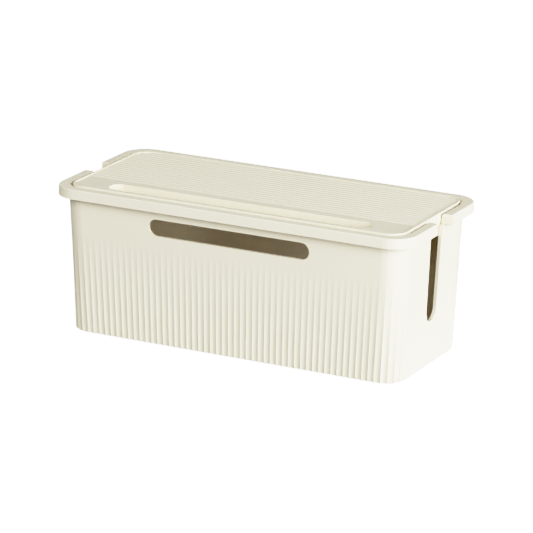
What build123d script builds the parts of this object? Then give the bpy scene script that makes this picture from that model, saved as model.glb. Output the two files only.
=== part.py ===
from build123d import *
import math
import os

# Cable management box: a drafted tub with a turned-over rim and a fluted wall, and a lift-off lid
# that drops into the rim. Millimetres. X runs along the box, Y from front to back, Z up.
# The origin is on the floor, under the middle of the box.

# ---- Rim of the tub ----
rim_length = 340.0  # along X, over the rim
rim_depth = 155.6  # along Y, over the rim
rim_corner_radius = 22.5
rim_overhang = 7.3  # from the wall out to the rim's face, at the rim's top
rim_skirt_height = 8.8
rim_flange_thickness = 2.4
rim_skirt_thickness = 2.2
rim_edge_chamfer = 0.6
mouth_edge_chamfer = 2.0  # where the rim turns down into the tub

# ---- Wall and floor of the tub ----
tub_height = 131.0  # from the underside to the rim's top
wall_thickness = 2.8
floor_thickness = 2.8
wall_draft = 2.23  # degrees that each wall leans in towards the floor
wall_corner_radius = 19.2
inner_floor_bevel = 2.5  # where the wall meets the floor, inside

# ---- Flutes on the lower wall ----
flute_count = 150  # around the whole wall
flute_depth = 1.4  # from ridge to hollow, at the foot of the wall
flute_height = 90.0  # from the underside to where the flutes have faded out
faded_flute_depth = 0.01  # what is left of each flute above that

# ---- Openings in the wall ----
handle_length = 153.4
handle_height = 15.2
handle_top_margin = 17.4  # from the rim's top down to the handle hole
slot_width_top = 22.8  # cable slot at each end, at the rim's top
slot_side_draft = 1.17  # degrees that each side of the slot leans in towards the floor
slot_bottom_height = 39.5  # from the underside
slot_bottom_radius = 9.7
notch_width = 30.4  # break in the rim over each cable slot
notch_depth = 9.0  # below the rim's top
notch_web_thickness = 2.2  # closes the hollow of the rim at each side of a notch

# ---- Ribs inside the tub that carry the lid ----
support_rib_thickness = 2.5
support_rib_reach = 3.0  # from the wall inwards, at the rib's top
long_side_rib_offset = 110.0  # from the middle of a long side
end_rib_offset = 45.0  # from the middle of an end

# ---- Lid ----
lid_seam = 1.1  # gap between the lid and the mouth of the tub
lid_rise = 0.8  # how far the lid's border stands above the rim
lid_thickness = 2.2
lid_border_width = 2.0
lid_border_height = 1.0
lid_edge_chamfer = 0.3
lid_skirt_height = 8.0  # below the rim's top
lid_skirt_thickness = 1.8
lid_tongue_width = 29.4
lid_tongue_length = 18.2  # below the rim's top
lid_smooth_width = 35.3  # strip along the front of the lid, with the groove in it
lid_flute_count = 16  # whole flutes side by side, behind half a flute that rises from the strip
lid_flute_depth = 0.8
groove_length = 250.8
groove_width = 19.0
groove_front_margin = 7.8  # from the lid's front edge
groove_depth = 9.0
groove_wall = 1.8

# ---- Rubber feet ----
foot_diameter = 12.0
foot_thickness = 2.0
foot_recess_depth = 1.0
foot_recess_gap = 0.2
foot_inset = 22.0  # from the foot of the wall to the middle of a foot

# ---- Heights worked out from the sizes above ----
tub_bottom = foot_thickness - foot_recess_depth
rim_top = tub_bottom + tub_height
floor_top = tub_bottom + floor_thickness
flute_top = tub_bottom + flute_height
lid_top = rim_top + lid_rise
lid_face = lid_top - lid_border_height
lid_underside = lid_face - lid_thickness
lid_seat = rim_top - lid_skirt_height
groove_floor = lid_face - groove_depth
handle_middle = rim_top - handle_top_margin - handle_height / 2

# ---- Lengths and depths worked out from the sizes above ----
cut_margin = 1.0  # how far a cutter passes a face that it cuts through
wall_lean = math.tan(math.radians(wall_draft))
inner_corner_radius = wall_corner_radius - wall_thickness
lid_length = rim_length - 2 * (rim_overhang + wall_thickness + lid_seam)
lid_depth = rim_depth - 2 * (rim_overhang + wall_thickness + lid_seam)
lid_corner_radius = inner_corner_radius - lid_seam
panel_length = lid_length - 2 * lid_border_width
panel_depth = lid_depth - 2 * lid_border_width
panel_corner_radius = lid_corner_radius - lid_border_width


def wall_size(height, inset=0.0):
    """Length and depth of the wall's outside at a height, less an inset on each side."""
    lean = (rim_top - height) * wall_lean
    shrink = 2 * (rim_overhang + lean + inset)
    return rim_length - shrink, rim_depth - shrink


def wall_outline(height, inset=0.0):
    """Plain rounded outline of the drafted wall at a height."""
    length, depth = wall_size(height, inset)
    with BuildSketch(Plane.XY.offset(height)) as outline:
        RectangleRounded(length, depth, wall_corner_radius - inset)
    return outline.sketch


def beside(path, share, distance):
    """Point at a share of a path's length, moved outwards by a distance."""
    return path @ share + (path % share).cross(Vector(0, 0, 1)) * distance


def fluted_outline(height):
    """Outline of the drafted wall at a height, as equal hollow arcs that meet in ridges."""
    length, depth = wall_size(height)
    hollow = faded_flute_depth
    if height < flute_top:
        hollow += flute_depth * (flute_top - height) / flute_height
    with BuildLine() as right_half:
        FilletPolyline(
            (0, -depth / 2),
            (length / 2, -depth / 2),
            (length / 2, depth / 2),
            (0, depth / 2),
            radius=wall_corner_radius,
        )
    path = right_half.wires()[0]
    half_count = flute_count // 2
    with BuildSketch(Plane.XY.offset(height)) as outline:
        with BuildLine():
            for flute in range(half_count):
                ThreePointArc(
                    beside(path, flute / half_count, hollow / 2),
                    beside(path, (flute + 0.5) / half_count, -hollow / 2),
                    beside(path, (flute + 1) / half_count, hollow / 2),
                )
            mirror(about=Plane.YZ)
        make_face()
    return outline.sketch


# ---- Core: the space inside the tub, with a groove for each support rib ----
inner_top_length, inner_top_depth = wall_size(lid_seat, wall_thickness)
rib_face_x = inner_top_length / 2 - support_rib_reach
rib_face_y = inner_top_depth / 2 - support_rib_reach
core_top = rim_top + cut_margin

with BuildPart() as core:
    loft(
        sections=[
            wall_outline(floor_top, wall_thickness + inner_floor_bevel),
            wall_outline(floor_top + inner_floor_bevel, wall_thickness),
            wall_outline(core_top, wall_thickness),
        ],
        ruled=True,
    )
    with BuildSketch(Plane.XY.offset(floor_top)):
        for side in (-1, 1):
            with Locations((side * (rib_face_x + wall_thickness), 0)):
                with GridLocations(0, 2 * end_rib_offset, 1, 2):
                    Rectangle(2 * wall_thickness, support_rib_thickness)
            with Locations((0, side * (rib_face_y + wall_thickness))):
                with GridLocations(2 * long_side_rib_offset, 0, 2, 1):
                    Rectangle(support_rib_thickness, 2 * wall_thickness)
    extrude(amount=lid_seat - floor_top, mode=Mode.SUBTRACT)

# ---- Tub ----
rim_skirt_bottom = rim_top - rim_skirt_height
foot_x = wall_size(tub_bottom)[0] / 2 - foot_inset
foot_y = wall_size(tub_bottom)[1] / 2 - foot_inset

with BuildPart() as tub:
    # Drafted wall. Its flutes flatten out as they rise, up to a smooth band below the rim.
    loft(
        sections=[
            fluted_outline(tub_bottom),
            fluted_outline(tub_bottom + flute_height / 3),
            fluted_outline(tub_bottom + flute_height * 2 / 3),
            fluted_outline(flute_top),
            fluted_outline(rim_top),
        ],
        ruled=True,
    )
    # Rim: a flange with a skirt turned down from its edge.
    with BuildSketch(Plane.XY.offset(rim_top - rim_flange_thickness)):
        RectangleRounded(rim_length, rim_depth, rim_corner_radius)
    extrude(amount=rim_flange_thickness)
    with BuildSketch(Plane.XY.offset(rim_skirt_bottom)):
        RectangleRounded(rim_length, rim_depth, rim_corner_radius)
        offset(amount=-rim_skirt_thickness, mode=Mode.SUBTRACT)
    extrude(amount=rim_skirt_height - rim_flange_thickness)
    chamfer(tub.faces().sort_by(Axis.Z)[-1].outer_wire().edges(), length=rim_edge_chamfer)
    # Webs that close the hollow of the rim at each side of a notch.
    with BuildSketch(Plane.XY.offset(rim_skirt_bottom)):
        Rectangle(rim_length - rim_skirt_thickness, notch_width + 2 * notch_web_thickness)
        Rectangle(wall_size(rim_skirt_bottom)[0] - wall_thickness, rim_depth, mode=Mode.SUBTRACT)
    extrude(amount=rim_skirt_height - rim_flange_thickness)
    # Hollow inside.
    add(core.part, mode=Mode.SUBTRACT)
    chamfer(tub.faces().sort_by(Axis.Z)[-1].inner_wires()[0].edges(), length=mouth_edge_chamfer)
    # Break in the rim at each end.
    with BuildSketch(Plane.YZ):
        with Locations((0, rim_top)):
            Rectangle(notch_width, 2 * notch_depth)
    extrude(amount=rim_length, both=True, mode=Mode.SUBTRACT)
    # Cable slot at each end, open to the notch.
    with BuildSketch(Plane.YZ):
        with BuildLine():
            side_lean = math.radians(slot_side_draft)
            slot_foot = tub_bottom + slot_bottom_height
            round_middle = slot_foot + slot_bottom_radius
            side_foot = (
                slot_bottom_radius * math.cos(side_lean),
                round_middle - slot_bottom_radius * math.sin(side_lean),
            )
            Line((0, rim_top), (slot_width_top / 2, rim_top))
            Line((slot_width_top / 2, rim_top), side_foot)
            RadiusArc(side_foot, (0, slot_foot), slot_bottom_radius)
            mirror(about=Plane.YZ)
        make_face()
    extrude(amount=rim_length, both=True, mode=Mode.SUBTRACT)
    # Handle hole through the front and the back.
    with BuildSketch(Plane.XZ):
        with Locations((0, handle_middle)):
            SlotOverall(handle_length, handle_height)
    extrude(amount=rim_depth, both=True, mode=Mode.SUBTRACT)
    # Recesses for the feet.
    with BuildSketch(Plane.XY.offset(tub_bottom)):
        with GridLocations(2 * foot_x, 2 * foot_y, 2, 2):
            Circle(foot_diameter / 2 + foot_recess_gap)
    extrude(amount=foot_recess_depth, mode=Mode.SUBTRACT)

# ---- Lid ----
flute_field_start = -lid_depth / 2 + lid_smooth_width
lid_flute_pitch = (panel_depth / 2 - flute_field_start) / (lid_flute_count + 0.5)
lid_ridge_height = lid_face + lid_flute_depth
groove_y = -lid_depth / 2 + groove_front_margin + groove_width / 2
tongue_bottom = rim_top - lid_tongue_length

with BuildPart() as lid:
    # Panel, with hollow flutes that run its length and meet in ridges.
    with BuildSketch(Plane.YZ.offset(-lid_length / 2)):
        with BuildLine():
            ridge_y = flute_field_start + lid_flute_pitch / 2
            Line((-lid_depth / 2, lid_face), (flute_field_start, lid_face))
            TangentArc((flute_field_start, lid_face), (ridge_y, lid_ridge_height), tangent=(1, 0))
            for flute in range(lid_flute_count):
                ThreePointArc(
                    (ridge_y, lid_ridge_height),
                    (ridge_y + lid_flute_pitch / 2, lid_face),
                    (ridge_y + lid_flute_pitch, lid_ridge_height),
                )
                ridge_y += lid_flute_pitch
            Polyline(
                (ridge_y, lid_ridge_height),
                (lid_depth / 2, lid_ridge_height),
                (lid_depth / 2, lid_underside),
                (-lid_depth / 2, lid_underside),
                (-lid_depth / 2, lid_face),
            )
        make_face()
    extrude(amount=lid_length)
    with BuildSketch(Plane.XY.offset(lid_underside)):
        RectangleRounded(lid_length, lid_depth, lid_corner_radius)
    extrude(amount=lid_top - lid_underside, mode=Mode.INTERSECT)
    # Border that frames the panel, and the skirt below it.
    with BuildSketch(Plane.XY.offset(lid_underside)):
        RectangleRounded(lid_length, lid_depth, lid_corner_radius)
        RectangleRounded(panel_length, panel_depth, panel_corner_radius, mode=Mode.SUBTRACT)
    extrude(amount=lid_top - lid_underside)
    chamfer(lid.faces().sort_by(Axis.Z)[-1].outer_wire().edges(), length=lid_edge_chamfer)
    with BuildSketch(Plane.XY.offset(lid_underside)):
        RectangleRounded(lid_length, lid_depth, lid_corner_radius)
        offset(amount=-lid_skirt_thickness, mode=Mode.SUBTRACT)
    extrude(amount=lid_seat - lid_underside)
    # Tongues that close the top of the cable slots.
    with BuildSketch(Plane.XY.offset(lid_underside)):
        Rectangle(lid_length, lid_tongue_width)
        Rectangle(lid_length - 2 * lid_skirt_thickness, lid_tongue_width, mode=Mode.SUBTRACT)
    extrude(amount=tongue_bottom - lid_underside)
    # Groove along the front of the lid, in a trough below it.
    with BuildSketch(Plane.XY.offset(groove_floor - groove_wall)):
        with Locations((0, groove_y)):
            SlotOverall(groove_length + 2 * groove_wall, groove_width + 2 * groove_wall)
    extrude(amount=lid_underside - groove_floor + groove_wall)
    with BuildSketch(Plane.XY.offset(groove_floor)):
        with Locations((0, groove_y)):
            SlotOverall(groove_length, groove_width)
    extrude(amount=groove_depth, mode=Mode.SUBTRACT)

# ---- Feet ----
foot_places = {
    "foot_front_left": (-foot_x, -foot_y),
    "foot_front_right": (foot_x, -foot_y),
    "foot_rear_left": (-foot_x, foot_y),
    "foot_rear_right": (foot_x, foot_y),
}


def make_foot(place):
    """Rubber disc that stands on the floor under a recess of the tub."""
    with BuildPart() as foot:
        with BuildSketch(Plane(origin=(*place, 0))):
            Circle(foot_diameter / 2)
        extrude(amount=foot_thickness)
    return foot.part


# ---- Parts ----
pieces = {"tub": tub.part, "lid": lid.part}
for foot_name, foot_place in foot_places.items():
    pieces[foot_name] = make_foot(foot_place)

os.makedirs("parts", exist_ok=True)
for name, piece in pieces.items():
    piece.label = name
    export_step(piece, f"parts/{name}.step")
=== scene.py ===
import math

import bmesh
import bpy
from mathutils import Matrix, Vector

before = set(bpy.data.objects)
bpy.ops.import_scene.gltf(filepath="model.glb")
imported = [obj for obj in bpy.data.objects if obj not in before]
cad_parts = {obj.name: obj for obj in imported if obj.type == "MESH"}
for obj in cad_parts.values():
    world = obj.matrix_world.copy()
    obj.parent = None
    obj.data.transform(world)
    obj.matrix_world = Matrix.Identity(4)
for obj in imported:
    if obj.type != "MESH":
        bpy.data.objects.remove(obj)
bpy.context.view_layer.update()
scene = bpy.context.scene

# ---- Camera: a long lens, a little above the box and to the right of its front ----
SENSOR_WIDTH = 36.0  # millimetres
FRAME_PIXELS = 533  # width of the picture
FOCAL_PIXELS = 3530.5  # focal length in pixels of that picture
CAMERA_AZIMUTH = math.radians(26.452)
CAMERA_ELEVATION = math.radians(16.885)
CAMERA_ROLL = math.radians(1.033)
CAMERA_POSITION = Vector((1.308117, -2.624305, 0.954880))
CAMERA_REACH = 50.0  # well past the backdrop

# ---- Film: how a linear value becomes a shade in the picture ----
SHOULDER_START = 0.5  # up to here the response is straight
SHOULDER_TOP = 0.96  # the shade that the shoulder rises towards
FILM_WHITE = 2.5  # the linear value that shows as pure white
FILM_STEPS = 40  # straight pieces of the response curve
COMBINED_CURVE = 3  # comes after the curves for red, green and blue

# ---- Lights, in metres ----
LIGHT_BOUNCES = 16  # the pale inside of the box passes light on many times
DAYLIGHT = (0.85, 0.893, 1.0)
WORLD_STRENGTH = 0.047
LIGHT_TARGET = Vector((0.0, 0.0, 0.07))  # about the middle of the box
LIGHT_DISTANCE = 2.2
LIGHT_SIZE = 1.4

# ---- Paper under the box and round it, in metres ----
PAPER_RADIUS = 8.0
PAPER_GREY = (0.5, 0.5, 0.5, 1.0)  # hidden by the paper's own glow
PAPER_ROUGHNESS = 0.9
PAPER_GLOW = FILM_WHITE
PAPER_GLOW_COLOUR = (1.0, 1.0, 1.0, 1.0)
FLOOR_SEGMENTS = 64
BACKDROP_SUBDIVISIONS = 4

# ---- Cream plastic of the tub and the lid (linear colours, grain in metres) ----
CREAM = (0.80, 0.72, 0.51, 1.0)
CREAM_DEEP = (0.77, 0.69, 0.48, 1.0)
CREAM_ROUGHNESS = 0.45
CREAM_GRAIN_SIZE = 0.0009
CREAM_GRAIN_DEPTH = 0.00002

# ---- Grey rubber of the feet ----
FOOT_GREY = (0.42, 0.41, 0.38, 1.0)
FOOT_GREY_DEEP = (0.37, 0.36, 0.335, 1.0)
FOOT_ROUGHNESS = 0.8
FOOT_GRAIN_SIZE = 0.0006
FOOT_GRAIN_DEPTH = 0.00005

# ---- Noise in both materials; scales are per metre ----
MOTTLE_SCALE = 14.0  # patches of lighter and deeper colour
FLOW_SCALE = 60.0  # patches of higher and lower gloss
PATCH_DETAIL = 2.0
GRAIN_DETAIL = 1.0
GRAIN_STRENGTH = 1.0
ROUGHNESS_SWING = 0.04  # each way
NOISE_LOW = 0.3  # nearly all of a noise lies between these two
NOISE_HIGH = 0.7


def add_camera():
    """The camera stands at the photograph's angle, with a slight roll."""
    data = bpy.data.cameras.new("camera")
    data.sensor_fit = "HORIZONTAL"
    data.sensor_width = SENSOR_WIDTH
    data.lens = FOCAL_PIXELS / FRAME_PIXELS * SENSOR_WIDTH
    data.clip_end = CAMERA_REACH
    camera = bpy.data.objects.new("camera", data)
    scene.collection.objects.link(camera)
    turn = (
        Matrix.Rotation(CAMERA_AZIMUTH, 4, "Z")
        @ Matrix.Rotation(math.pi / 2 - CAMERA_ELEVATION, 4, "X")
        @ Matrix.Rotation(CAMERA_ROLL, 4, "Z")
    )
    camera.matrix_world = Matrix.Translation(CAMERA_POSITION) @ turn
    scene.camera = camera


def set_film():
    """Standard colours with a soft shoulder, so that the brightest faces keep their shape."""
    view = scene.view_settings
    view.view_transform = "Standard"
    view.use_curve_mapping = True
    film = view.curve_mapping
    film.white_level = (FILM_WHITE, FILM_WHITE, FILM_WHITE)
    span = SHOULDER_TOP - SHOULDER_START
    points = film.curves[COMBINED_CURVE].points
    for step in range(1, FILM_STEPS):
        value = FILM_WHITE * step / FILM_STEPS
        shade = value
        if value > SHOULDER_START:
            shade = SHOULDER_TOP - span * math.exp((SHOULDER_START - value) / span)
        points.new(value / FILM_WHITE, shade)
    for point in points:
        point.handle_type = "VECTOR"
    film.update()


def add_softbox(name, azimuth, elevation, strength, glare=True):
    """A square soft light that looks at the box from afar.

    Azimuth 0 is the box's front and 90 its right-hand end. Strength is about the linear value of a
    white face turned to the light. Without glare it lights the plastic but isn't mirrored in it.
    """
    turn = math.radians(azimuth)
    rise = math.radians(elevation)
    side = math.sin(turn) * math.cos(rise)
    front = math.cos(turn) * math.cos(rise)
    way = Vector((side, -front, math.sin(rise)))
    data = bpy.data.lights.new(name, "AREA")
    data.shape = "SQUARE"
    data.size = LIGHT_SIZE
    data.energy = strength * math.pi**2 * LIGHT_DISTANCE**2
    data.color = DAYLIGHT
    light = bpy.data.objects.new(name, data)
    scene.collection.objects.link(light)
    place = Matrix.Translation(LIGHT_TARGET + way * LIGHT_DISTANCE)
    light.matrix_world = place @ way.to_track_quat("Z", "Y").to_matrix().to_4x4()
    light.visible_camera = False
    light.visible_glossy = glare


def add_lights():
    """Low softboxes all round the box, strongest at its right-hand end, and a weak even glow."""
    scene.cycles.max_bounces = LIGHT_BOUNCES
    scene.cycles.diffuse_bounces = LIGHT_BOUNCES
    world = bpy.data.worlds.new("surroundings")
    scene.world = world
    world.use_nodes = True
    background = world.node_tree.nodes["Background"]
    background.inputs["Color"].default_value = (*DAYLIGHT, 1.0)
    background.inputs["Strength"].default_value = WORLD_STRENGTH
    add_softbox("end_softbox", azimuth=80, elevation=15, strength=1.66)
    add_softbox("key_softbox", azimuth=50, elevation=15, strength=1.14)
    add_softbox("front_softbox", azimuth=0, elevation=15, strength=0.1)
    add_softbox("fill_softbox", azimuth=-30, elevation=30, strength=0.73)
    add_softbox("left_softbox", azimuth=-90, elevation=10, strength=0.24, glare=False)
    add_softbox("rear_left_softbox", azimuth=-140, elevation=10, strength=0.78, glare=False)
    add_softbox("rear_right_softbox", azimuth=140, elevation=10, strength=0.36, glare=False)


def new_material(name):
    """A new material and its shader node."""
    material = bpy.data.materials.new(name)
    material.use_nodes = True
    return material, material.node_tree.nodes["Principled BSDF"]


def noise(tree, coordinates, scale, detail):
    """A noise texture at the given coordinates."""
    node = tree.nodes.new("ShaderNodeTexNoise")
    node.inputs["Scale"].default_value = scale
    node.inputs["Detail"].default_value = detail
    tree.links.new(coordinates, node.inputs["Vector"])
    return node.outputs["Fac"]


def spread(tree, value, low, high):
    """Stretches a noise so that it runs from low to high."""
    node = tree.nodes.new("ShaderNodeMapRange")
    node.inputs["From Min"].default_value = NOISE_LOW
    node.inputs["From Max"].default_value = NOISE_HIGH
    node.inputs["To Min"].default_value = low
    node.inputs["To Max"].default_value = high
    tree.links.new(value, node.inputs["Value"])
    return node.outputs["Result"]


def moulded(name, light_colour, deep_colour, roughness, grain_size, grain_depth):
    """A moulded material: fine grain, slight mottling, and a roughness that varies a little."""
    material, shader = new_material(name)
    tree = material.node_tree
    place = tree.nodes.new("ShaderNodeTexCoord").outputs["Object"]

    mix = tree.nodes.new("ShaderNodeMix")
    mix.data_type = "RGBA"
    mix.inputs["A"].default_value = deep_colour
    mix.inputs["B"].default_value = light_colour
    tree.links.new(noise(tree, place, MOTTLE_SCALE, PATCH_DETAIL), mix.inputs["Factor"])
    tree.links.new(mix.outputs["Result"], shader.inputs["Base Color"])

    flow = noise(tree, place, FLOW_SCALE, PATCH_DETAIL)
    gloss = spread(tree, flow, roughness - ROUGHNESS_SWING, roughness + ROUGHNESS_SWING)
    tree.links.new(gloss, shader.inputs["Roughness"])

    bump = tree.nodes.new("ShaderNodeBump")
    bump.inputs["Strength"].default_value = GRAIN_STRENGTH
    bump.inputs["Distance"].default_value = grain_depth
    tree.links.new(noise(tree, place, 1.0 / grain_size, GRAIN_DETAIL), bump.inputs["Height"])
    tree.links.new(bump.outputs["Normal"], shader.inputs["Normal"])
    return material


def glowing_paper():
    """White paper that glows evenly, so that no shadow shows on it."""
    material, shader = new_material("paper")
    shader.inputs["Base Color"].default_value = PAPER_GREY
    shader.inputs["Roughness"].default_value = PAPER_ROUGHNESS
    shader.inputs["Emission Color"].default_value = PAPER_GLOW_COLOUR
    shader.inputs["Emission Strength"].default_value = PAPER_GLOW
    material.cycles.emission_sampling = "NONE"
    return material


def add_paper():
    """A disc of paper under the box and a ball of it all round.

    The ball lets the light of the lamps and of the world through, and neither lends the box its glow.
    """
    material = glowing_paper()
    disc = bmesh.new()
    bmesh.ops.create_circle(disc, cap_ends=True, radius=PAPER_RADIUS, segments=FLOOR_SEGMENTS)
    ball = bmesh.new()
    bmesh.ops.create_icosphere(ball, subdivisions=BACKDROP_SUBDIVISIONS, radius=PAPER_RADIUS)
    for name, shape, blocks_light in (("floor", disc, True), ("backdrop", ball, False)):
        mesh = bpy.data.meshes.new(name)
        shape.to_mesh(mesh)
        shape.free()
        mesh.materials.append(material)
        sheet = bpy.data.objects.new(name, mesh)
        scene.collection.objects.link(sheet)
        sheet.visible_diffuse = False
        sheet.visible_glossy = False
        sheet.visible_shadow = blocks_light


def dress(node_name, material):
    """Gives a CAD node its finish."""
    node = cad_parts[node_name]
    node.data.materials.clear()
    node.data.materials.append(material)


cream = moulded(
    "cream_plastic", CREAM, CREAM_DEEP, CREAM_ROUGHNESS, CREAM_GRAIN_SIZE, CREAM_GRAIN_DEPTH
)
rubber = moulded(
    "foot_rubber", FOOT_GREY, FOOT_GREY_DEEP, FOOT_ROUGHNESS, FOOT_GRAIN_SIZE, FOOT_GRAIN_DEPTH
)
set_film()
add_camera()
add_lights()
add_paper()
for node_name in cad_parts:
    dress(node_name, rubber if node_name.startswith("foot") else cream)
